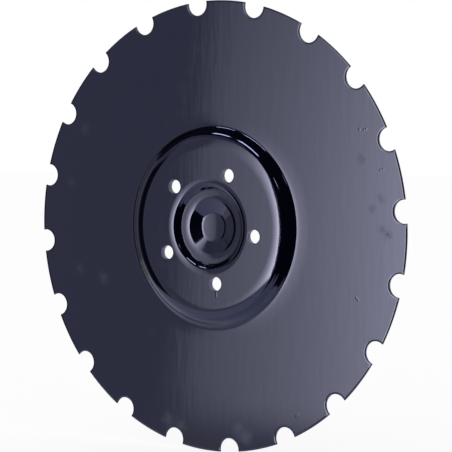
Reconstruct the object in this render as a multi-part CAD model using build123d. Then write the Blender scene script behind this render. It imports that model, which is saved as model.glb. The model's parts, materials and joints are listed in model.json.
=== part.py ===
"""Disc blade: one round plate of hardened steel, pressed to clear a hub.

Units are millimetres and degrees.
The axis of the disc lies along Y, and +Z is up.
The origin is the centre of the bolt circle, on the face that seats against the hub.
The hub side faces -Y, so a depth below the hub face is a positive Y.
"""

import os
from math import cos, radians, sin, tan

from build123d import *

# Blade
blade_diameter = 410.0
plate_thickness = 4.0
# how far the hub face stands above the front edge of the rim, along the axis
hub_face_rise = 8.6
# the far side of the rim is ground down to a narrow land
edge_land = 1.4
edge_bevel_width = 40.0

# Notches that a round punch cuts in the rim
notch_count = 20
notch_diameter = 20.5
notch_circle_diameter = 405.5
# first notch, anticlockwise from +X as seen from the hub side
notch_start_angle = 5.1

# Bolt holes
bolt_count = 5
bolt_diameter = 12.0
bolt_hole_clearance = 0.5
bolt_circle_diameter = 104.0
# first hole, anticlockwise from +X as seen from the hub side
bolt_start_angle = -8.0

# Hub face, a flat ring that rolls down gently at both edges before the tight bends
hub_face_inner_diameter = 85.2
hub_face_outer_diameter = 146.8
edge_roll_angle = 9.0
inner_edge_roll_radius = 22.0
outer_edge_roll_radius = 37.0

# Walls that lead down from the hub face, measured from the plane of the disc
dish_wall_angle = 43.0
recess_wall_angle = 49.0
floor_wall_angle = 23.0

# Stepped recess for the nose of the hub, with its depths below the hub face
recess_step_depth = 6.5
recess_floor_depth = 10.0
recess_floor_diameter = 32.0

# Inner radius of each bend, on the hollow side of the plate
dish_foot_bend = 4.5
dish_shoulder_bend = 4.0
recess_lip_bend = 1.0
recess_crease_bend = 2.0
recess_step_bend = 4.0
recess_floor_bend = 8.0

blade_radius = blade_diameter / 2
bolt_hole_diameter = bolt_diameter + bolt_hole_clearance


def bend_length(radius, turn):
    """Length from the tangent point of a bend to its corner."""
    return radius * tan(radians(turn) / 2)


def rolled_edge(start_radius, outwards, roll_radius, bend_radius, wall_angle):
    """The two corners where the hub face rolls down and then bends into a wall.

    The tight bend starts where the gentle roll ends.
    """
    roll_length = bend_length(roll_radius, edge_roll_angle)
    slope_length = roll_length + bend_length(bend_radius, wall_angle - edge_roll_angle)
    roll_corner = start_radius + outwards * roll_length
    bend_corner = roll_corner + outwards * slope_length * cos(radians(edge_roll_angle))
    return (roll_corner, 0.0), (bend_corner, slope_length * sin(radians(edge_roll_angle)))


def hub_side_corners():
    """Corners (radius, depth) of the hub side from the axis to the rim, with the bend at each.

    A bend is plus where the hub side is its hollow side, and minus where that is the far side.
    """
    lip_bend = recess_lip_bend + plate_thickness
    shoulder_bend = dish_shoulder_bend + plate_thickness
    step_bend = recess_step_bend + plate_thickness

    lip_roll, lip = rolled_edge(
        hub_face_inner_diameter / 2, -1, inner_edge_roll_radius, lip_bend, recess_wall_angle
    )
    shoulder_roll, shoulder = rolled_edge(
        hub_face_outer_diameter / 2, 1, outer_edge_roll_radius, shoulder_bend, dish_wall_angle
    )

    recess_wall_run = (recess_step_depth - lip[1]) / tan(radians(recess_wall_angle))
    crease = (lip[0] - recess_wall_run, recess_step_depth)
    floor = (recess_floor_diameter / 2, recess_floor_depth)
    floor_wall_run = (recess_floor_depth - recess_step_depth) / tan(radians(floor_wall_angle))
    step = (floor[0] + floor_wall_run, recess_step_depth)

    dish_wall_run = (hub_face_rise - shoulder[1]) / tan(radians(dish_wall_angle))
    foot = (shoulder[0] + dish_wall_run, hub_face_rise)

    return [
        ((0.0, recess_floor_depth), 0.0),
        (floor, recess_floor_bend),
        (step, -step_bend),
        (crease, recess_crease_bend),
        (lip, -lip_bend),
        (lip_roll, -inner_edge_roll_radius),
        (shoulder_roll, -outer_edge_roll_radius),
        (shoulder, -shoulder_bend),
        (foot, dish_foot_bend),
        ((blade_radius, hub_face_rise), 0.0),
    ]


def far_side_corners(corners):
    """The same corners one plate thickness away, so that both radii of a bend share a centre."""
    points = [Vector(radius, depth) for (radius, depth), _ in corners]
    normals = [(b - a).normalized().rotate(Axis.Z, 90) for a, b in zip(points, points[1:])]
    normals_before = [normals[0]] + normals
    normals_after = normals + [normals[-1]]
    far = []
    for (_, bend), point, before, after in zip(corners, points, normals_before, normals_after):
        across = (before + after) / (1 + before.dot(after))
        far_bend = bend + plate_thickness if bend else 0.0
        far.append((point + across * plate_thickness, far_bend))
    return far


def ground_edge(far):
    """The far side's corners with the rim ground down from there to its land."""
    rim, _ = far[-1]
    bevel_start = Vector(rim.X - edge_bevel_width, rim.Y)
    land = Vector(rim.X, rim.Y - plate_thickness + edge_land)
    return far[:-1] + [(bevel_start, 0.0), (land, 0.0)]


def pressed_plate():
    """The plate without its holes, of one thickness from its centre to its ground edge."""
    near = hub_side_corners()
    far = ground_edge(far_side_corners(near))
    outline = near + far[::-1]
    profile = FilletPolyline(
        *[point for point, _ in outline],
        radius=[abs(bend) for _, bend in outline],
        close=True,
    )
    return revolve(make_face(profile), Axis.Y)


def punches(count, circle_diameter, diameter, start_angle):
    """Round punches along Y, evenly spaced on a circle, long enough to pass the plate anywhere."""
    places = PolarLocations(circle_diameter / 2, count, start_angle)
    circles = Plane.XZ * (Sketch() + places * Circle(diameter / 2))
    reach = hub_face_rise + 2 * plate_thickness
    return extrude(circles, amount=reach, both=True)


def disc_blade():
    """The pressed plate with its notched rim and its bolt holes."""
    blade = pressed_plate()
    blade -= punches(notch_count, notch_circle_diameter, notch_diameter, notch_start_angle)
    blade -= punches(bolt_count, bolt_circle_diameter, bolt_hole_diameter, bolt_start_angle)
    return blade


os.makedirs("parts", exist_ok=True)
export_step(disc_blade(), "parts/disc_blade.step")
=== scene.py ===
"""Disc blade in gloss enamel: builds the blade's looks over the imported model, and its studio.

The axis of the disc lies along Y, the hub side faces -Y and +Z is up.
Lengths are metres, and angles on the disc run anticlockwise from +X as seen from the hub side.
"""

import json
from math import acos, atan, atan2, ceil, cos, hypot, pi, radians, sin, tan

import bpy
from mathutils import Matrix, Vector


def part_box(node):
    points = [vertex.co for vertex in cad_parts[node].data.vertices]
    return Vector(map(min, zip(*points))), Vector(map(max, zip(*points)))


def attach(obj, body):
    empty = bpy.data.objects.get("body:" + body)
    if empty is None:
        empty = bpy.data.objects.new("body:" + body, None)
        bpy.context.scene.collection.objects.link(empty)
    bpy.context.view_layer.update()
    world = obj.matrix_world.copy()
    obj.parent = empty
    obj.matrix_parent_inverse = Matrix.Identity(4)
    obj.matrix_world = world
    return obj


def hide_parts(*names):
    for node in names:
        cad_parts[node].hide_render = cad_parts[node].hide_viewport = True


bl_info = {
    "name": "Disc Blade",
    "version": (1, 0, 0),
    "blender": (4, 5, 0),
    "location": "3D View > Sidebar > Disc Blade",
    "description": "Builds a pressed and notched disc blade, its enamel and its studio",
    "category": "Add Mesh",
}

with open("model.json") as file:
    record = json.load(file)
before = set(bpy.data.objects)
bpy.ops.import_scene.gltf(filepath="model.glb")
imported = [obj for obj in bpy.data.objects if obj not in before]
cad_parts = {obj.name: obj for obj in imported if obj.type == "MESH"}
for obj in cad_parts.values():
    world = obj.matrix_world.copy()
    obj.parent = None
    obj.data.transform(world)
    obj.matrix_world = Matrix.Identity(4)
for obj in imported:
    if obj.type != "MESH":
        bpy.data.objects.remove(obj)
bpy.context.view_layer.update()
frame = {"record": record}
BODY = "root"
NODE = "disc_blade"
MM = 0.001
low_corner, high_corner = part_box(NODE)
bolt_mount = next(m for m in frame["record"]["mounts"] if m["name"] == "hub_bolts")


def linear(hex_colour):
    """An sRGB hex colour as linear RGBA."""
    channels = [int(hex_colour[i : i + 2], 16) / 255 for i in (1, 3, 5)]
    return [c / 12.92 if c <= 0.04045 else ((c + 0.055) / 1.055) ** 2.4 for c in channels] + [1.0]


def length(name, description, millimetres):
    """A length property with its default in millimetres."""
    return bpy.props.FloatProperty(
        name=name, description=description, default=millimetres * MM, unit="LENGTH", precision=5
    )


def angle(name, description, degrees):
    """An angle property with its default in degrees."""
    return bpy.props.FloatProperty(
        name=name, description=description, default=radians(degrees), subtype="ANGLE"
    )


def light_level(name, description, amount):
    """A light level property, where 1 is white."""
    return bpy.props.FloatProperty(name=name, description=description, default=amount, min=0.0)


def colour(name, description, hex_colour):
    """A colour property with its default as sRGB hex."""
    return bpy.props.FloatVectorProperty(
        name=name,
        description=description,
        default=linear(hex_colour)[:3],
        subtype="COLOR",
        min=0.0,
        max=1.0,
    )


class BladeSizes(bpy.types.PropertyGroup):
    """Sizes of the pressed plate.

    They are the CAD source's, apart from the hub's bends and slopes, which are fitted more closely
    to the way the gloss bends its reflections.
    """

    blade_diameter: length("Blade", "Diameter over the rim", (high_corner.x - low_corner.x) / MM)
    plate_thickness: length("Plate", "Thickness of the plate", 4.0)
    hub_face_rise: length("Hub face rise", "Height of the hub face above the rim", 8.6)
    edge_land: length("Edge land", "Thickness left at the ground rim", 1.4)
    edge_bevel_width: length("Edge bevel", "Width of the bevel on the far side of the rim", 40.0)
    notch_count: bpy.props.IntProperty(
        name="Notches", description="Number of notches in the rim", default=20, min=5
    )
    notch_diameter: length("Notch", "Diameter of the punch that cut the notches", 20.5)
    notch_circle_diameter: length("Notch circle", "Circle through the notch centres", 405.5)
    notch_start_angle: angle("First notch", "Angle of the first notch", 5.1)
    bolt_count: bpy.props.IntProperty(
        name="Bolt holes",
        description="Number of bolt holes",
        default=bolt_mount["dims"]["count"],
        min=1,
    )
    bolt_hole_diameter: length(
        "Bolt hole", "Diameter of the bolt holes", 2 * bolt_mount["dims"]["hole_r_mm"]
    )
    bolt_circle_diameter: length(
        "Bolt circle", "Circle through the bolt holes", bolt_mount["dims"]["pcd_mm"]
    )
    bolt_start_angle: angle("First bolt hole", "Angle of the first bolt hole", -8.0)
    hub_face_inner_diameter: length("Hub face inside", "Inner edge of the flat hub face", 89.4)
    hub_face_outer_diameter: length("Hub face outside", "Outer edge of the flat hub face", 141.8)
    edge_roll_angle: angle("Edge roll", "Turn of the gentle roll at the hub face's edges", 12.0)
    inner_edge_roll_radius: length("Inner roll", "Radius of the hub face's inner roll", 24.0)
    outer_edge_roll_radius: length("Outer roll", "Radius of the hub face's outer roll", 50.0)
    dish_wall_angle: angle("Dish wall", "Slope of the wall around the hub face", 46.0)
    recess_wall_angle: angle("Recess wall", "Slope of the wall of the recess", 49.0)
    floor_wall_angle: angle("Floor wall", "Slope between the step and the floor", 16.5)
    recess_step_depth: length("Step depth", "Depth of the recess's step", 6.0)
    recess_floor_depth: length("Floor depth", "Depth of the recess's floor", 10.0)
    recess_floor_diameter: length("Floor", "Diameter of the recess's floor", 25.6)
    dish_foot_bend: length("Dish foot bend", "Inner radius of the bend", 4.5)
    dish_shoulder_bend: length("Dish shoulder bend", "Inner radius of the bend", 8.0)
    recess_lip_bend: length("Recess lip bend", "Inner radius of the bend", 2.5)
    recess_crease_bend: length("Recess crease bend", "Inner radius of the bend", 2.0)
    recess_step_bend: length("Recess step bend", "Inner radius of the bend", 4.0)
    recess_floor_bend: length("Recess floor bend", "Inner radius of the bend", 14.0)
    foot_roll_angle: angle("Foot roll", "Turn of the gentle roll at the dish's foot", 3.0)
    foot_roll_radius: length("Foot roll radius", "Radius of the gentle roll at the foot", 60.0)
    foot_run_angle: angle("Foot run-out", "Turn of the run-out to the flat blade", 2.0)
    foot_run_radius: length("Foot run-out radius", "Radius of the run-out", 300.0)
    step_lean: angle("Step lean", "Lean of the recess's step beside its wall", 2.0)
    step_roll_angle: angle("Step roll", "How much more the step leans beside the floor", 10.0)
    step_roll_radius: length("Step roll radius", "Radius of the roll across the step", 28.0)
    floor_bowl_angle: angle("Floor bowl", "Lean of the recess's floor at its edge", 3.0)
    floor_bowl_radius: length("Floor bowl radius", "Radius of the shallow bowl of the floor", 180.0)
    bevel_blend: length("Bevel blend", "Radius that the paint gives the bevel's inner edge", 20.0)
    die_roll_width: length("Die roll width", "Width of the roll that punching leaves", 2.0)
    die_roll_depth: length("Die roll depth", "Depth of the roll that punching leaves", 0.35)
    hole_roll_width: length("Hole roll width", "Width of the roll at the bolt holes", 0.9)
    hole_roll_depth: length("Hole roll depth", "Depth of the roll at the bolt holes", 0.3)
    burr_radius: length("Burr radius", "Radius of the painted edge on the far side", 0.3)
    lip_radius: length("Lip radius", "Radius of the corners between notches and rim", 0.5)
    sector_split: length("Sector split", "Radius where the notched sectors meet the hub's", 110.0)
    column_angle: angle("Column", "Angle between the columns of the mesh", 1.5)


class EnamelColours(bpy.types.PropertyGroup):
    """Colours of the paint."""

    enamel: colour("Enamel", "The paint's own colour", "#020214")
    sheen_tint: colour("Sheen tint", "Tint of the mirror gloss", "#d3d6ff")
    dust: colour("Dust", "Dull film and finger marks", "#4c4e5a")


class StudioSizes(bpy.types.PropertyGroup):
    """The camera's lens and the levels of the lights."""

    lens: bpy.props.FloatProperty(
        name="Lens", description="Focal length in mm on a 36 mm sensor", default=156.406, min=20.0
    )
    camera_tilt: angle("Camera tilt", "How far the camera looks down", 2.4886)
    camera_turn: angle("Camera turn", "How far the camera stands from square on", 36.386)
    softbox_level: light_level("Softbox", "Radiance of the softbox near its left edge", 1.7)
    ambient_level: light_level("Ambient", "Level of the soft light from all round", 0.5)
    unlit_cloth: colour("Unlit cloth", "Colour of the softbox where its lamp is far", "#e5e9ff")
    floor_colour: colour("Floor", "Colour of the floor", "#f4f4f4")


def bend_length(radius, turn):
    """Length from the tangent point of a bend to its corner."""
    return radius * tan(turn / 2)


def along(place, distance, slope):
    """The place (radius, depth) at a distance along a slope that deepens outwards."""
    return (place[0] + distance * cos(slope), place[1] + distance * sin(slope))


def rolled_edge(sizes, start_radius, outwards, roll_radius, bend_radius, wall_angle):
    """The two corners where the hub face rolls down and then bends into a wall."""
    roll = sizes.edge_roll_angle
    roll_length = bend_length(roll_radius, roll)
    slope_length = roll_length + bend_length(bend_radius, wall_angle - roll)
    roll_corner = start_radius + outwards * roll_length
    bend_corner = roll_corner + outwards * slope_length * cos(roll)
    return (roll_corner, 0.0), (bend_corner, slope_length * sin(roll))


def hub_side_corners(sizes):
    """Corners ((radius, depth), bend) of the hub side from the axis to the rim."""
    thickness = sizes.plate_thickness
    lip_bend = sizes.recess_lip_bend + thickness
    shoulder_bend = sizes.dish_shoulder_bend + thickness
    step_bend = sizes.recess_step_bend + thickness
    lip_roll, lip = rolled_edge(
        sizes,
        sizes.hub_face_inner_diameter / 2,
        -1,
        sizes.inner_edge_roll_radius,
        lip_bend,
        sizes.recess_wall_angle,
    )
    shoulder_roll, shoulder = rolled_edge(
        sizes,
        sizes.hub_face_outer_diameter / 2,
        1,
        sizes.outer_edge_roll_radius,
        shoulder_bend,
        sizes.dish_wall_angle,
    )
    # the floor is a shallow bowl
    bowl_start = bend_length(sizes.floor_bowl_radius, sizes.floor_bowl_angle)
    floor_radius = sizes.recess_floor_diameter / 2
    floor_depth = sizes.recess_floor_depth
    floor_depth -= (floor_radius - bowl_start) * tan(sizes.floor_bowl_angle)
    # the step rolls down towards the floor
    step_depth = sizes.recess_step_depth
    step_radius = floor_radius + (floor_depth - step_depth) / tan(sizes.floor_wall_angle)
    lean = sizes.step_lean + sizes.step_roll_angle
    step_length = bend_length(step_bend, sizes.floor_wall_angle - lean)
    step_length += bend_length(sizes.step_roll_radius, sizes.step_roll_angle)
    roll_radius, roll_depth = along((step_radius, step_depth), step_length, -lean)
    steep, gentle = tan(sizes.recess_wall_angle), tan(sizes.step_lean)
    crease_radius = (lip[1] + lip[0] * steep - roll_depth - roll_radius * gentle) / (steep - gentle)
    crease = (crease_radius, roll_depth - (crease_radius - roll_radius) * gentle)
    # the foot of the dish runs out gently to the flat blade
    foot_lean = sizes.foot_roll_angle + sizes.foot_run_angle
    foot_length = bend_length(sizes.dish_foot_bend, sizes.dish_wall_angle - foot_lean)
    foot_length += bend_length(sizes.foot_roll_radius, sizes.foot_roll_angle)
    run_length = bend_length(sizes.foot_roll_radius, sizes.foot_roll_angle)
    run_length += bend_length(sizes.foot_run_radius, sizes.foot_run_angle)
    foot_depth = sizes.hub_face_rise - foot_length * sin(foot_lean)
    foot_depth -= run_length * sin(sizes.foot_run_angle)
    foot = (shoulder[0] + (foot_depth - shoulder[1]) / tan(sizes.dish_wall_angle), foot_depth)
    foot_roll = along(foot, foot_length, foot_lean)
    foot_run = along(foot_roll, run_length, sizes.foot_run_angle)
    return [
        ((0.0, sizes.recess_floor_depth), 0.0),
        ((bowl_start, sizes.recess_floor_depth), sizes.floor_bowl_radius),
        ((floor_radius, floor_depth), sizes.recess_floor_bend),
        ((step_radius, step_depth), -step_bend),
        ((roll_radius, roll_depth), -sizes.step_roll_radius),
        (crease, sizes.recess_crease_bend),
        (lip, -lip_bend),
        (lip_roll, -sizes.inner_edge_roll_radius),
        (shoulder_roll, -sizes.outer_edge_roll_radius),
        (shoulder, -shoulder_bend),
        (foot, sizes.dish_foot_bend),
        (foot_roll, sizes.foot_roll_radius),
        (foot_run, sizes.foot_run_radius),
        ((sizes.blade_diameter / 2, sizes.hub_face_rise), 0.0),
    ]


def far_side_corners(corners, sizes):
    """The same corners one plate thickness away, then the bevel down to the rim's land."""
    thickness = sizes.plate_thickness
    points = [Vector(place) for place, _ in corners]
    normals = [Vector((a.y - b.y, b.x - a.x)).normalized() for a, b in zip(points, points[1:])]
    before, after = [normals[0]] + normals, normals + [normals[-1]]
    far = []
    for (_, bend), point, one, other in zip(corners, points, before, after):
        place = point + (one + other) / (1 + one.dot(other)) * thickness
        far.append((tuple(place), bend + thickness if bend else 0.0))
    rim_radius, rim_depth = far[-1][0]
    bevel_start = (rim_radius - sizes.edge_bevel_width, rim_depth)
    land = (rim_radius, rim_depth - thickness + sizes.edge_land)
    return far[:-1] + [(bevel_start, sizes.bevel_blend), (land, 0.0)]


def profile_points(corners, step=radians(3.5)):
    """Points (radius, depth, slope) along the corners, with each bend as a true arc."""
    places = [Vector(place) for place, _ in corners]
    slopes = [atan2(b.y - a.y, b.x - a.x) for a, b in zip(places, places[1:])]
    points = [(*places[0], slopes[0])]
    for (_, bend), corner, before, after in zip(corners[1:], places[1:], slopes, slopes[1:]):
        turn = after - before
        radius, side = abs(bend), 1 if turn > 0 else -1
        start = corner - bend_length(radius, abs(turn)) * Vector((cos(before), sin(before)))
        steps = max(2, ceil(abs(turn) / step))
        for i in range(steps + 1):
            slope = before + turn * i / steps
            arc = Vector((sin(slope) - sin(before), cos(before) - cos(slope)))
            points.append((*(start + side * radius * arc), slope))
    points.append((*places[-1], slopes[-1]))
    return points


def depth_at(profile, radius):
    """Depth and slope of a profile at a radius."""
    for (r0, y0, s0), (r1, y1, s1) in zip(profile, profile[1:]):
        if r0 <= radius <= r1 and r1 > r0:
            share = (radius - r0) / (r1 - r0)
            return y0 + (y1 - y0) * share, s0 + (s1 - s0) * share
    raise RuntimeError(f"the profile has no point at radius {radius}")


def rolled_rows(width, depth, steps):
    """Rows (inset, drop, lean) over a rounded edge, from the face to the wall."""
    rows = []
    for i in range(steps + 1):
        lean = pi / 2 * i / steps
        turn = pi / 2 if i == steps else atan(width / depth * tan(lean))
        rows.append((width * (1 - sin(turn)), depth * (1 - cos(turn)), lean))
    return rows


class Skin:
    """Points with their true normals, and the faces over them."""

    def __init__(self):
        self.places, self.normals, self.faces = [], [], []

    def row(self, points):
        """Adds points (place, normal) and returns their numbers."""
        start = len(self.places)
        self.places += [tuple(place) for place, _ in points]
        self.normals += [tuple(Vector(normal).normalized()) for _, normal in points]
        return list(range(start, len(self.places)))

    def strip(self, first, second, closed=False):
        """Faces between two rows of the same length."""
        count = len(first)
        for i in range(count if closed else count - 1):
            j = (i + 1) % count
            self.faces.append((first[i], second[i], second[j], first[j]))

    def sheet(self, first, second):
        """One flat face between two rows."""
        self.faces.append(tuple(second + first[::-1]))

    def mesh(self, name):
        """The skin as a mesh that keeps its normals in the attribute true_normal."""
        made = bpy.data.meshes.new(name)
        made.from_pydata(self.places, [], self.faces)
        stored = made.attributes.new("true_normal", "FLOAT_VECTOR", "POINT")
        stored.data.foreach_set("vector", [c for normal in self.normals for c in normal])
        made.update()
        return made


def ring(radius, depth, slope, facing, angles):
    """Points around the axis on one side of the plate.

    facing is -1 on the hub side and 1 on the far side.
    """
    across = -facing * sin(slope)
    return [
        (
            (radius * cos(a), depth, radius * sin(a)),
            (across * cos(a), facing * cos(slope), across * sin(a)),
        )
        for a in angles
    ]


def hub_sector(sizes):
    """One sector of the pressed hub with its bolt hole, out to the sector split."""
    near = profile_points(hub_side_corners(sizes))
    far = profile_points(far_side_corners(hub_side_corners(sizes), sizes))
    notch_pitch = 2 * pi / sizes.notch_count
    span = 2 * pi / sizes.bolt_count
    border = sizes.notch_start_angle + notch_pitch / 2
    start = border - span * ceil((border - sizes.bolt_start_angle) / span)
    hole_angle = sizes.bolt_start_angle
    while hole_angle < start + span * 0.25:
        start -= notch_pitch
    columns = round(span / sizes.column_angle)
    angles = [start + span * i / columns for i in range(columns + 1)]
    split = round((hole_angle - start) / span * columns)

    skin = Skin()
    hole_radius = sizes.bolt_hole_diameter / 2
    hole_centre = sizes.bolt_circle_diameter / 2
    around = 64
    turns = [hole_angle - 2 * pi * i / around for i in range(around)]

    def hole_row(inset, depth, lean, facing):
        radius = hole_radius + inset
        x, z = hole_centre * cos(hole_angle), hole_centre * sin(hole_angle)
        return skin.row(
            [
                (
                    (x + radius * cos(t), depth, z + radius * sin(t)),
                    (-sin(lean) * cos(t), facing * cos(lean), -sin(lean) * sin(t)),
                )
                for t in turns
            ]
        )

    edge = rolled_rows(sizes.hole_roll_width, sizes.hole_roll_depth, 7)
    burr = rolled_rows(sizes.burr_radius, sizes.burr_radius, 4)
    hole_rows = [hole_row(inset, drop, lean, -1) for inset, drop, lean in edge]
    hole_rows += [
        hole_row(inset, sizes.plate_thickness - drop, lean, 1) for inset, drop, lean in burr[::-1]
    ]
    for first, second in zip(hole_rows, hole_rows[1:]):
        skin.strip(first, second, closed=True)

    half = around // 2
    for profile, facing, hole in ((near, -1, hole_rows[0]), (far, 1, hole_rows[-1])):
        kept = [p for p in profile if 0 < p[0] < sizes.sector_split]
        kept.append((sizes.sector_split, *depth_at(profile, sizes.sector_split)))
        if facing > 0:
            kept.reverse()
        rows = [skin.row(ring(*point, facing, angles)) for point in kept]
        for (radius, _, _), (next_radius, _, _), first, second in zip(
            kept, kept[1:], rows, rows[1:]
        ):
            if min(radius, next_radius) < hole_centre < max(radius, next_radius):
                before, after = hole[: half + 1], hole[half:] + hole[:1]
                if facing > 0:
                    before, after = before[::-1], after[::-1]
                skin.faces.append(tuple(second[: split + 1] + before + first[split::-1]))
                skin.faces.append(tuple(second[split:] + first[: split - 1 : -1] + after))
            else:
                skin.strip(first, second)
        inner = rows[0] if facing < 0 else rows[-1]
        pole = skin.row([((0.0, depth_at(profile, 0.0)[0], 0.0), (0.0, facing, 0.0))])
        skin.faces.append(tuple((inner if facing < 0 else inner[::-1]) + pole))
    return skin.mesh("hub_sector")


def notch_outline(sizes, inset):
    """Points ((x, z), outward direction) of one sector's rim, with its notch on angle 0."""
    rim = sizes.blade_diameter / 2
    notch = sizes.notch_diameter / 2
    centre = sizes.notch_circle_diameter / 2
    half_span = pi / sizes.notch_count
    corner = max(sizes.lip_radius, inset)
    reach = rim - corner
    corner_angle = acos((reach**2 + centre**2 - (notch + corner) ** 2) / (2 * reach * centre))
    corner_x, corner_z = reach * cos(corner_angle), reach * sin(corner_angle)
    into_notch = atan2(-corner_z, centre - corner_x)
    lip = corner - inset

    upper = []
    steps = 20
    for i in range(steps):
        turn = pi + into_notch * i / steps
        x, z = centre + (notch + inset) * cos(turn), (notch + inset) * sin(turn)
        upper.append(((x, z), (-cos(turn), -sin(turn))))
    steps = 5
    for i in range(steps + 1):
        turn = into_notch + (corner_angle - into_notch) * i / steps
        upper.append(
            ((corner_x + lip * cos(turn), corner_z + lip * sin(turn)), (cos(turn), sin(turn)))
        )
    steps = 6
    for i in range(1, steps + 1):
        turn = corner_angle + (half_span - corner_angle) * i / steps
        x, z = (rim - inset) * cos(turn), (rim - inset) * sin(turn)
        upper.append(((x, z), (cos(turn), sin(turn))))
    lower = [((x, -z), (across, -up)) for (x, z), (across, up) in upper[:0:-1]]
    return lower + upper


def rim_sector(sizes):
    """One sector of the notched rim, from the sector split outwards."""
    far = profile_points(far_side_corners(hub_side_corners(sizes), sizes))
    half_span = pi / sizes.notch_count
    start = sizes.notch_start_angle
    columns = round(2 * half_span / sizes.column_angle)
    angles = [start - half_span + 2 * half_span * i / columns for i in range(columns + 1)]
    skin = Skin()

    def turned(x, z, depth):
        """A point of the outline turned to where its notch stands."""
        return Vector((x * cos(start) - z * sin(start), depth, x * sin(start) + z * cos(start)))

    def edge_row(inset, drop, lean, facing):
        points = []
        for (x, z), (across, up) in notch_outline(sizes, inset):
            if facing < 0:
                depth, slope = sizes.hub_face_rise + drop, 0.0
            else:
                depth, slope = depth_at(far, min(hypot(x, z), far[-1][0]))
                depth -= drop
            place = turned(x, z, depth)
            outward = turned(across, up, 0.0)
            radial = Vector((place.x, 0.0, place.z)).normalized()
            face = facing * (cos(slope) * Vector((0, 1, 0)) - sin(slope) * radial)
            points.append((place, face * cos(lean) + outward * sin(lean)))
        return skin.row(points)

    near_edge = rolled_rows(sizes.die_roll_width, sizes.die_roll_depth, 8)
    far_edge = rolled_rows(sizes.burr_radius, sizes.burr_radius, 4)
    split = sizes.sector_split
    near_ring = skin.row(ring(split, sizes.hub_face_rise, 0.0, -1, angles))
    edges = [edge_row(inset, drop, lean, -1) for inset, drop, lean in near_edge]
    edges += [edge_row(inset, drop, lean, 1) for inset, drop, lean in far_edge[::-1]]
    notch_bottom = (sizes.notch_circle_diameter - sizes.notch_diameter) / 2
    kept = [p for p in far if split < p[0] < notch_bottom - 2 * MM]
    kept = [(split, *depth_at(far, split))] + kept
    kept.append((notch_bottom - 2 * MM, *depth_at(far, notch_bottom - 2 * MM)))
    far_rows = [skin.row(ring(*point, 1, angles)) for point in kept[::-1]]
    skin.sheet(near_ring, edges[0])
    for first, second in zip(edges, edges[1:]):
        skin.strip(first, second)
    skin.sheet(edges[-1], far_rows[0])
    for first, second in zip(far_rows, far_rows[1:]):
        skin.strip(first, second)
    return skin.mesh("rim_sector")


def add_node(tree, kind, inputs=None, **settings):
    """Adds one node, sets it, and gives each named input a value or a link."""
    made = tree.nodes.new(kind)
    for name, value in settings.items():
        setattr(made, name, value)
    for name, value in (inputs or {}).items():
        if isinstance(value, bpy.types.NodeSocket):
            tree.links.new(value, made.inputs[name])
        else:
            made.inputs[name].default_value = value
    return made


def repeated(tree, sector, count):
    """A sector repeated around the Y axis, with each copy's turn kept for its normals."""
    index = add_node(tree, "GeometryNodeInputIndex").outputs[0]
    step = add_node(tree, "ShaderNodeMath", {0: 2 * pi, 1: count}, operation="DIVIDE").outputs[0]
    turn = add_node(tree, "ShaderNodeMath", {0: index, 1: step}, operation="MULTIPLY").outputs[0]
    points = add_node(tree, "GeometryNodePoints", {"Count": count}).outputs[0]
    rotation = add_node(tree, "ShaderNodeCombineXYZ", {"Y": turn}).outputs[0]
    copies = add_node(
        tree,
        "GeometryNodeInstanceOnPoints",
        {"Points": points, "Instance": sector, "Rotation": rotation},
    ).outputs[0]
    kept = add_node(
        tree,
        "GeometryNodeStoreNamedAttribute",
        {"Geometry": copies, "Name": "turn", "Value": turn},
        data_type="FLOAT",
        domain="INSTANCE",
    )
    return kept.outputs[0]


def sector_pattern():
    """Node group that repeats both sectors around the axis and welds them into one blade."""
    tree = bpy.data.node_groups.new("Sector Pattern", "GeometryNodeTree")
    sockets = tree.interface
    sockets.new_socket("Hub Sector", in_out="INPUT", socket_type="NodeSocketGeometry")
    sockets.new_socket("Rim Sector", in_out="INPUT", socket_type="NodeSocketObject")
    sockets.new_socket("Hub Count", in_out="INPUT", socket_type="NodeSocketInt")
    sockets.new_socket("Rim Count", in_out="INPUT", socket_type="NodeSocketInt")
    sockets.new_socket("Weld Distance", in_out="INPUT", socket_type="NodeSocketFloat")
    sockets.new_socket("Paint", in_out="INPUT", socket_type="NodeSocketMaterial")
    sockets.new_socket("Blade", in_out="OUTPUT", socket_type="NodeSocketGeometry")
    given = add_node(tree, "NodeGroupInput").outputs
    rim = add_node(tree, "GeometryNodeObjectInfo", {"Object": given["Rim Sector"]})
    hub_copies = repeated(tree, given["Hub Sector"], given["Hub Count"])
    rim_copies = repeated(tree, rim.outputs["Geometry"], given["Rim Count"])
    joined = add_node(tree, "GeometryNodeJoinGeometry")
    tree.links.new(hub_copies, joined.inputs[0])
    tree.links.new(rim_copies, joined.inputs[0])
    real = add_node(tree, "GeometryNodeRealizeInstances", {"Geometry": joined.outputs[0]})
    normal = add_node(
        tree, "GeometryNodeInputNamedAttribute", {"Name": "true_normal"}, data_type="FLOAT_VECTOR"
    )
    turn = add_node(tree, "GeometryNodeInputNamedAttribute", {"Name": "turn"}, data_type="FLOAT")
    turned = add_node(
        tree,
        "ShaderNodeVectorRotate",
        {"Vector": normal.outputs["Attribute"], "Angle": turn.outputs["Attribute"]},
        rotation_type="Y_AXIS",
    )
    stored = add_node(
        tree,
        "GeometryNodeStoreNamedAttribute",
        {
            "Geometry": real.outputs[0],
            "Name": "true_normal",
            "Value": turned.outputs[0],
        },
        data_type="FLOAT_VECTOR",
        domain="POINT",
    )
    welded = add_node(
        tree,
        "GeometryNodeMergeByDistance",
        {"Geometry": stored.outputs[0], "Distance": given["Weld Distance"]},
    )
    smooth = add_node(tree, "GeometryNodeSetShadeSmooth", {"Geometry": welded.outputs[0]})
    painted = add_node(
        tree,
        "GeometryNodeSetMaterial",
        {"Geometry": smooth.outputs[0], "Material": given["Paint"]},
    )
    add_node(tree, "NodeGroupOutput", {"Blade": painted.outputs[0]})
    return tree


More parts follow.
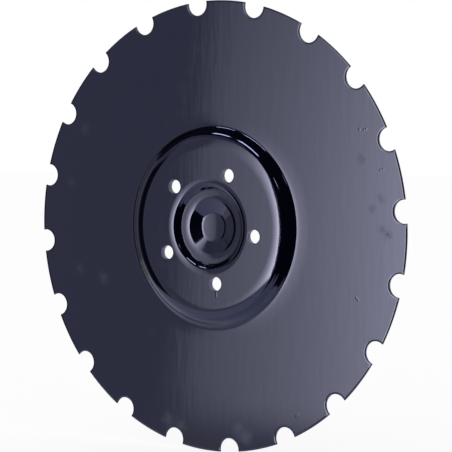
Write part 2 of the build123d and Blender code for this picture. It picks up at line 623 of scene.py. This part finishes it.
def shown(name, data):
    """A new object in the scene."""
    made = bpy.data.objects.new(name, data)
    bpy.context.scene.collection.objects.link(made)
    return made


# middles (x, z) in mm of finger marks and of small nicks on the blade's hub side
FINGER_MARKS = ((159, 62), (179, 28), (170, 19), (181, 2), (186, -2), (-152, 90), (-170, 38))
FINGER_MARKS += ((-160, -44), (-130, -52), (-52, -180), (-38, -184), (28, -181), (36, -187))
NICKS = ((163.6, 88.2), (161.5, 87.5), (180.8, 54.0), (178.4, 53.2), (157.0, 88.0), (186.3, -1.6))
NICKS += ((156.0, -59.2), (154.2, -57.5), (91.4, -165.2), (93.0, -164.0))
# a run of paint below the lowest bolt hole
RUNS = ((9.6, -59.0), (9.7, -60.6), (9.7, -62.2))


def marks(tree, place, middles, depth, radius):
    """Soft spots, 1 in the middle and 0 outside, at one depth of the plate."""
    level = 0.0
    for x, z in middles:
        distance = add_node(
            tree,
            "ShaderNodeVectorMath",
            {0: place, 1: (x * MM, depth, z * MM)},
            operation="DISTANCE",
        )
        spot = add_node(
            tree,
            "ShaderNodeMapRange",
            {"Value": distance.outputs["Value"], "From Min": radius, "From Max": 0.0},
            interpolation_type="SMOOTHSTEP",
        )
        level = add_node(
            tree, "ShaderNodeMath", {0: spot.outputs[0], 1: level}, operation="MAXIMUM"
        ).outputs[0]
    return level


def enamel_paint(colours, sizes):
    """Blue-black gloss enamel, dipped and hung to dry.

    It mirrors its surroundings sharply, and orange peel, sags that run down the plate and slow
    waves bend the mirror image. Finger marks and a thin film of dust dull it, and a few nicks
    stand in it near the rim.
    """
    paint = bpy.data.materials.new("blue_black_enamel")
    paint.use_nodes = True
    tree = paint.node_tree
    tree.nodes.clear()
    place = add_node(tree, "ShaderNodeTexCoord").outputs["Object"]

    def noise(vector, wavelength, detail, output="Fac"):
        inputs = {"Vector": vector, "Scale": 1 / wavelength, "Detail": detail}
        return add_node(tree, "ShaderNodeTexNoise", inputs).outputs[output]

    def ranged(value, low, high, least, most):
        made = add_node(
            tree,
            "ShaderNodeMapRange",
            {"Value": value, "From Min": low, "From Max": high, "To Min": least, "To Max": most},
        )
        return made.outputs[0]

    def bump(height, distance, normal=None):
        inputs = {"Strength": 1.0, "Distance": distance, "Height": height}
        if normal:
            inputs["Normal"] = normal
        return add_node(tree, "ShaderNodeBump", inputs).outputs[0]

    # a film of dust in soft clouds about 45 mm across, and drier patches about 14 mm across
    clouds = ranged(noise(place, 45 * MM, 3.0), 0.35, 0.7, 0.0, 1.0)
    patches = ranged(noise(place, 14 * MM, 2.0), 0.52, 0.7, 0.0, 1.0)
    # finger marks about 22 mm across, their edges shifted by up to 4.5 mm by noise of 6 mm
    smear = noise(place, 6 * MM, 3.0, "Color")
    spread = add_node(
        tree,
        "ShaderNodeVectorMath",
        {0: smear, 1: (9 * MM, 0.0, 9 * MM), 2: place},
        operation="MULTIPLY_ADD",
    ).outputs[0]
    shifted = add_node(
        tree,
        "ShaderNodeVectorMath",
        {0: spread, 1: (4.5 * MM, 0.0, 4.5 * MM)},
        operation="SUBTRACT",
    ).outputs[0]
    fingers = marks(tree, shifted, FINGER_MARKS, sizes.hub_face_rise, 11 * MM)
    dull = add_node(
        tree, "ShaderNodeMath", {0: clouds, 1: 0.08, 2: fingers}, operation="MULTIPLY_ADD"
    ).outputs[0]
    dull = add_node(
        tree, "ShaderNodeMath", {0: patches, 1: 0.1, 2: dull}, operation="MULTIPLY_ADD"
    ).outputs[0]
    film = add_node(
        tree,
        "ShaderNodeMix",
        {
            0: ranged(dull, 0.0, 1.5, 0.0, 0.03),
            6: (*colours.enamel, 1.0),
            7: (*colours.dust, 1.0),
        },
        data_type="RGBA",
    ).outputs[2]
    # orange peel about 2.5 mm across
    normal = bump(noise(place, 2.5 * MM, 1.0), 0.0012 * MM)
    # sags that run down, about 6 mm wide and 40 mm long
    hung = add_node(tree, "ShaderNodeMapping", {"Vector": place, "Scale": (1.0, 1.0, 0.15)})
    normal = bump(noise(hung.outputs[0], 6 * MM, 1.5), 0.03 * MM, normal)
    # slow waves that pressing leaves in the plate, about 70 mm long
    normal = bump(noise(place, 70 * MM, 1.0), 0.06 * MM, normal)
    # nicks about 3 mm across, and a run of paint under one bolt hole
    nicks = marks(tree, place, NICKS, sizes.hub_face_rise, 1.5 * MM)
    runs = marks(tree, place, RUNS, 0.0, 1.3 * MM)
    dents = add_node(tree, "ShaderNodeMath", {0: nicks, 1: runs}, operation="MAXIMUM").outputs[0]
    normal = bump(dents, 0.13 * MM, normal)
    shader = add_node(
        tree,
        "ShaderNodeBsdfPrincipled",
        {
            "Base Color": film,
            "Roughness": ranged(dull, 0.0, 1.5, 0.06, 0.42),
            "IOR": 1.5,
            "Specular Tint": (*colours.sheen_tint, 1.0),
            "Normal": normal,
        },
    )
    add_node(tree, "ShaderNodeOutputMaterial", {"Surface": shader.outputs[0]})
    return paint


# distances of the cards and of the tube lamps from the blade's origin
CARD_DISTANCE = 2.8
TUBE_DISTANCE = 2.4
# level of the emission that, with what light falls on the floor, renders as white
FLOOR_GLOW = 0.86
# what the floor gives back of that light to the camera, so that its shadow stays pale
FLOOR_SHARE = (0.3, 0.3, 0.3, 1.0)
FLOOR_REACH = 12.0
CAMERA_PLACE = (1.0670, -1.4197, 0.0782)

# name, azimuths and elevations in degrees, and level of each card that the gloss mirrors:
# the dark room in front and overhead, the grey one at the left, the pale table that the blade
# stands on, and the pale wall behind it
STUDIO_CARDS = (
    ("dark_room_front", (-13, 78), (-27, 21), 0.02),
    ("dark_room_low", (12, 36), (-36, -27), 0.02),
    ("dark_room_right", (36, 78), (-53, -27), 0.02),
    ("dark_ceiling_front", (-20, 95), (20, 89), 0.03),
    ("dim_ceiling_middle", (-64, -20), (20, 35), 0.75),
    ("dark_ceiling_middle", (-64, -20), (35, 89), 0.03),
    ("dark_ceiling_left", (-150, -64), (19, 89), 0.05),
    ("dark_room_left", (-150, -97), (-16.5, 19), 0.03),
    ("grey_room_left", (-97, -63), (-12, 19), 0.6),
    ("dark_gap_left", (-63, -49), (-16, 11), 0.05),
    ("dim_gap_left", (-63, -49), (11, 20), 0.7),
    ("pale_table", (-98, -13), (-36, -17), 1.9),
    ("pale_table_middle", (-13, 12), (-36, -27), 1.7),
    ("pale_table_low", (-98, 36), (-88, -36), 1.45),
    ("pale_table_right", (36, 95), (-88, -53), 1.7),
    ("grey_table_left", (-150, -98), (-88, -16.5), 1.5),
    ("pale_wall_back", (95, 178), (-40, 50), 2.6),
)
# name, directions (azimuth, elevation) of both ends, width and level of each tube lamp on the
# ceiling; they streak along the bend around the hub face
TUBE_LAMPS = (
    ("tube_lamp_left", (-54, 48), (-35, 51), 0.22, 22.0),
    ("tube_lamp_middle", (-23, 52), (1, 43), 0.3, 22.0),
    ("tube_lamp_right", (15, 28), (20, 24), 0.2, 9.0),
)


def plain_light(name, strength):
    """An emitting material, a little blue as daylight is, for a card or a lamp."""
    made = bpy.data.materials.new(name)
    made.use_nodes = True
    made.node_tree.nodes.clear()
    light = add_node(
        made.node_tree, "ShaderNodeEmission", {"Color": linear("#e2e6ff"), "Strength": strength}
    )
    add_node(made.node_tree, "ShaderNodeOutputMaterial", {"Surface": light.outputs[0]})
    return made


def only_mirrored(card):
    """Hides a part of the studio from all but the gloss that mirrors it."""
    card.visible_camera = False
    card.visible_diffuse = False
    card.visible_shadow = False
    card.visible_transmission = False


def direction(azimuth, elevation, distance):
    """A place around the blade. The azimuth runs right from -Y and both angles are in degrees."""
    turn, rise = radians(azimuth), radians(elevation)
    level = distance * cos(rise)
    return Vector((level * sin(turn), -level * cos(turn), distance * sin(rise)))


def studio_card(name, azimuths, elevations, strength):
    """A card on a sphere around the blade, dark or lit, that shows only in the gloss."""
    across = max(2, ceil((azimuths[1] - azimuths[0]) / 4))
    up = max(1, ceil((elevations[1] - elevations[0]) / 8))
    places, faces = [], []
    for j in range(up + 1):
        elevation = elevations[0] + (elevations[1] - elevations[0]) * j / up
        for i in range(across + 1):
            azimuth = azimuths[0] + (azimuths[1] - azimuths[0]) * i / across
            places.append(direction(azimuth, elevation, CARD_DISTANCE))
    for j in range(up):
        for i in range(across):
            k = j * (across + 1) + i
            faces.append((k, k + 1, k + across + 2, k + across + 1))
    mesh = bpy.data.meshes.new(name)
    mesh.from_pydata(places, [], faces)
    mesh.materials.append(plain_light(name, strength))
    only_mirrored(shown(name, mesh))


def tube_lamp(name, start, end, thickness, strength):
    """A straight lamp between two directions, each given as azimuth and elevation in degrees."""
    first, last = direction(*start, TUBE_DISTANCE), direction(*end, TUBE_DISTANCE)
    side = first.cross(last).normalized() * thickness / 2
    mesh = bpy.data.meshes.new(name)
    mesh.from_pydata([first - side, last - side, last + side, first + side], [], [(0, 1, 2, 3)])
    mesh.materials.append(plain_light(name, strength))
    only_mirrored(shown(name, mesh))


def background_rays(tree):
    """1 for camera, glossy and transmission rays, which see the white background."""
    rays = add_node(tree, "ShaderNodeLightPath").outputs
    seen = rays["Is Camera Ray"]
    for kind in ("Is Glossy Ray", "Is Transmission Ray"):
        seen = add_node(
            tree, "ShaderNodeMath", {0: seen, 1: rays[kind]}, operation="MAXIMUM"
        ).outputs[0]
    return seen


def softbox_mesh():
    """The front of the softbox, a tall sheet in front of the blade and left of the camera."""
    left, right, low, high, front = -1.62, -0.36, -0.46, 0.62, -1.42
    made = bpy.data.meshes.new("softbox")
    made.from_pydata(
        [(left, front, low), (left, front, high), (right, front, high), (right, front, low)],
        [],
        [(0, 1, 2, 3)],
    )
    return made


def softbox_glow(studio):
    """Cloth lit from behind by a lamp near its right edge, so that it fades towards the left."""
    glow = bpy.data.materials.new("softbox_glow")
    glow.use_nodes = True
    tree = glow.node_tree
    tree.nodes.clear()

    def maths(operation, *values):
        return add_node(
            tree, "ShaderNodeMath", dict(enumerate(values)), operation=operation
        ).outputs[0]

    place = add_node(tree, "ShaderNodeTexCoord").outputs["Object"]
    split = add_node(tree, "ShaderNodeSeparateXYZ", {0: place}).outputs
    # the left edge leans, and the lower left corner is rounded
    from_edge = maths("SUBTRACT", split["X"], maths("MULTIPLY_ADD", split["Z"], 0.12, -1.1))
    from_bottom = maths("ADD", split["Z"], 0.435)
    corner = maths("SMOOTH_MIN", from_edge, from_bottom, 0.12)
    inside = add_node(
        tree,
        "ShaderNodeMapRange",
        {"Value": corner, "From Min": -0.045, "From Max": 0.045},
        interpolation_type="SMOOTHSTEP",
    ).outputs[0]
    # brightness grows by e each 0.27 m towards the lamp, and falls off above it
    growth = maths("MULTIPLY", maths("ADD", split["X"], 1.02), 3.7)
    above = maths("MULTIPLY", maths("MAXIMUM", maths("ADD", split["Z"], 0.12), 0.0), 1.5)
    shape = maths("EXPONENT", maths("SUBTRACT", growth, maths("MULTIPLY", above, above)))
    level = maths("MULTIPLY", maths("MULTIPLY", shape, inside), studio.softbox_level)
    lit = add_node(tree, "ShaderNodeEmission", {"Color": linear("#fffcf1"), "Strength": level})
    # cloth outside the lamp's glow is a dull blue white
    unlit = add_node(tree, "ShaderNodeEmission", {"Color": (*studio.unlit_cloth, 1.0)})
    both = add_node(tree, "ShaderNodeAddShader", {0: unlit.outputs[0], 1: lit.outputs[0]})
    add_node(tree, "ShaderNodeOutputMaterial", {"Surface": both.outputs[0]})
    return glow


class BLADE_OT_disc(bpy.types.Operator):
    """Builds the painted disc blade from its two sectors"""

    bl_idname = "blade.disc"
    bl_label = "Disc Blade"

    def execute(self, context):
        sizes = context.scene.blade_sizes
        paint = enamel_paint(context.scene.enamel_colours, sizes)
        hub = shown("hub_sector", hub_sector(sizes))
        rim = shown("rim_sector", rim_sector(sizes))
        tree = sector_pattern()
        modifier = hub.modifiers.new("Sector Pattern", "NODES")
        modifier.node_group = tree
        given = {
            "Rim Sector": rim,
            "Hub Count": sizes.bolt_count,
            "Rim Count": sizes.notch_count,
            "Weld Distance": 0.005 * MM,
            "Paint": paint,
        }
        for socket in tree.interface.items_tree:
            if socket.name in given:
                modifier[socket.identifier] = given[socket.name]
        context.view_layer.update()
        evaluated = hub.evaluated_get(context.evaluated_depsgraph_get())
        mesh = bpy.data.meshes.new_from_object(evaluated)
        mesh.name = "disc_blade_enamel"
        bpy.data.objects.remove(hub)
        bpy.data.objects.remove(rim)
        if len(mesh.polygons) < 1000:
            raise RuntimeError("the sector pattern came out empty")
        stored = mesh.attributes["true_normal"].data
        normals = [tuple(item.vector) for item in stored]
        for name in ("true_normal", "turn"):
            mesh.attributes.remove(mesh.attributes[name])
        mesh.normals_split_custom_set_from_vertices(normals)
        blade = shown("disc_blade_enamel", mesh)
        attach(blade, BODY)
        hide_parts(NODE)
        return {"FINISHED"}


class BLADE_OT_studio(bpy.types.Operator):
    """Adds the floor, the lights, the cards that mirror in the gloss, and the camera"""

    bl_idname = "blade.studio"
    bl_label = "Studio"

    def execute(self, context):
        scene = context.scene
        studio = scene.studio_sizes
        floor_height = -scene.blade_sizes.blade_diameter / 2

        floor_mesh = bpy.data.meshes.new("studio_floor")
        corners = [(-1, -1, 0), (1, -1, 0), (1, 1, 0), (-1, 1, 0)]
        floor_mesh.from_pydata(corners, [], [(0, 1, 2, 3)])
        floor_mesh.transform(Matrix.Scale(FLOOR_REACH, 4))
        floor_mesh.transform(Matrix.Translation((0, 0, floor_height)))
        pale = bpy.data.materials.new("pale_floor")
        pale.use_nodes = True
        tree = pale.node_tree
        tree.nodes.clear()
        seen = background_rays(tree)
        matt = add_node(tree, "ShaderNodeBsdfDiffuse", {"Color": (*studio.floor_colour, 1.0)})
        shaded = add_node(tree, "ShaderNodeBsdfDiffuse", {"Color": FLOOR_SHARE})
        glow = add_node(tree, "ShaderNodeEmission", {"Strength": FLOOR_GLOW})
        backdrop = add_node(tree, "ShaderNodeAddShader", {0: shaded.outputs[0], 1: glow.outputs[0]})
        floor_mix = add_node(
            tree,
            "ShaderNodeMixShader",
            {0: seen, 1: matt.outputs[0], 2: backdrop.outputs[0]},
        )
        add_node(tree, "ShaderNodeOutputMaterial", {"Surface": floor_mix.outputs[0]})
        floor_mesh.materials.append(pale)
        floor = shown("studio_floor", floor_mesh)
        floor.visible_glossy = False

        world = bpy.data.worlds.new("studio_air")
        world.use_nodes = True
        scene.world = world
        tree = world.node_tree
        tree.nodes.clear()
        seen = background_rays(tree)
        soft = add_node(tree, "ShaderNodeBackground", {"Strength": studio.ambient_level})
        white = add_node(tree, "ShaderNodeBackground", {"Strength": 1.0, "Color": (1, 1, 1, 1)})
        air = add_node(
            tree,
            "ShaderNodeMixShader",
            {0: seen, 1: soft.outputs[0], 2: white.outputs[0]},
        )
        add_node(tree, "ShaderNodeOutputWorld", {"Surface": air.outputs[0]})

        softbox = shown("softbox", softbox_mesh())
        softbox.data.materials.append(softbox_glow(studio))
        only_mirrored(softbox)

        for card in STUDIO_CARDS:
            studio_card(*card)
        for lamp in TUBE_LAMPS:
            tube_lamp(*lamp)

        camera_data = bpy.data.cameras.new("camera")
        camera_data.sensor_width = 36.0
        camera_data.lens = studio.lens
        camera = shown("camera", camera_data)
        camera.location = CAMERA_PLACE
        camera.rotation_euler = (pi / 2 - studio.camera_tilt, 0.0, studio.camera_turn)
        scene.camera = camera
        scene.view_settings.view_transform = "Standard"
        return {"FINISHED"}


class BLADE_PT_panel(bpy.types.Panel):
    """Lists the blade's operators and sizes"""

    bl_idname = "BLADE_PT_panel"
    bl_label = "Disc Blade"
    bl_space_type = "VIEW_3D"
    bl_region_type = "UI"
    bl_category = "Disc Blade"

    def draw(self, context):
        layout = self.layout
        for operator in (BLADE_OT_disc, BLADE_OT_studio):
            layout.operator(operator.bl_idname)
        for group in ("blade_sizes", "enamel_colours", "studio_sizes"):
            settings = getattr(context.scene, group)
            for name in settings.__annotations__:
                layout.prop(settings, name)


CLASSES = (
    BladeSizes,
    EnamelColours,
    StudioSizes,
    BLADE_OT_disc,
    BLADE_OT_studio,
    BLADE_PT_panel,
)


def register():
    """Registers the classes and hangs the settings on the scene."""
    for item in CLASSES:
        bpy.utils.register_class(item)
    bpy.types.Scene.blade_sizes = bpy.props.PointerProperty(type=BladeSizes)
    bpy.types.Scene.enamel_colours = bpy.props.PointerProperty(type=EnamelColours)
    bpy.types.Scene.studio_sizes = bpy.props.PointerProperty(type=StudioSizes)


def unregister():
    """Takes the settings and the classes away again."""
    del bpy.types.Scene.blade_sizes
    del bpy.types.Scene.enamel_colours
    del bpy.types.Scene.studio_sizes
    for item in reversed(CLASSES):
        bpy.utils.unregister_class(item)


def main():
    register()
    bpy.ops.blade.disc()
    bpy.ops.blade.studio()


if __name__ == "__main__":
    main()
